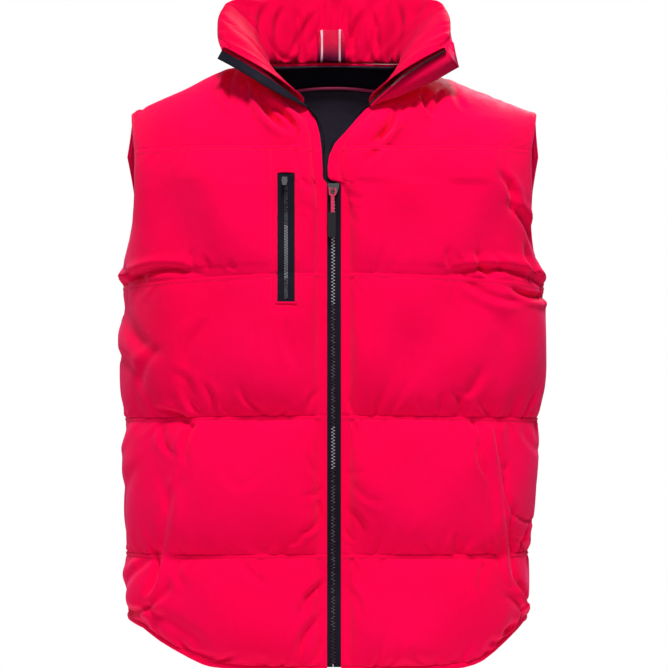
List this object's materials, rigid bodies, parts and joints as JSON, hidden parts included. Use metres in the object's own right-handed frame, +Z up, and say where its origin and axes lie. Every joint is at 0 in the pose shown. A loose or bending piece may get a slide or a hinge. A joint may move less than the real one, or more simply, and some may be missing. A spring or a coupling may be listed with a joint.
{
  "type": "quilted padded bodywarmer",
  "caption": "Sleeveless padded jacket quilted in level bands, with a high folded-open collar, a full front zip, a zipped chest pocket and slanted hand pockets.",
  "frame": {"origin": "the middle of the neck opening, just above the neck ends of the shoulder seams, where the wearer's shoulders hold the garment", "axes": "+Z up, -Y out of the front with its zip, +X towards the wearer's left"},
  "size_m": [0.5017, 0.269, 0.7994],
  "materials": {
    "shell_red": "smooth woven nylon over padding",
    "collar_red": "smooth woven nylon over padding",
    "lining_navy": "plain woven lining",
    "tape_black": "woven tape",
    "teeth_black": "moulded",
    "pull_raspberry": "moulded",
    "tab_black": "moulded",
    "piping_raspberry": "covered cord",
    "loop_red": "woven ribbon with two pale stripes"
  },
  "bodies": {
    "garment": {"back": "shell_red", "chest_zip_chain": "teeth_black", "chest_zip_slider": "teeth_black", "chest_zip_tape": "tape_black", "collar_inner": "collar_red", "collar_outer": "collar_red", "front_left": "shell_red", "front_right": "shell_red", "hand_pocket_welt_left": "shell_red", "hand_pocket_welt_right": "shell_red", "hanger_loop": "loop_red", "hem_strip": "shell_red", "lining_back": "lining_navy", "lining_front_left": "lining_navy", "lining_front_right": "lining_navy", "neck_band": "tape_black", "neck_piping": "piping_raspberry", "zip_chain": "teeth_black", "zip_slider": "teeth_black", "zip_tape_left": "tape_black", "zip_tape_right": "tape_black"},
    "zip_pull": {"zip_puller": "pull_raspberry", "pull_tab": "tab_black"}
  },
  "joints": [
    {"name": "pull_swing", "type": "hinge", "parent": "garment", "child": "zip_pull", "pos_m": [-0.0016, -0.1252, -0.1376], "axis": [-1, 0, 0], "range_deg": [0, 165]}
  ]
}
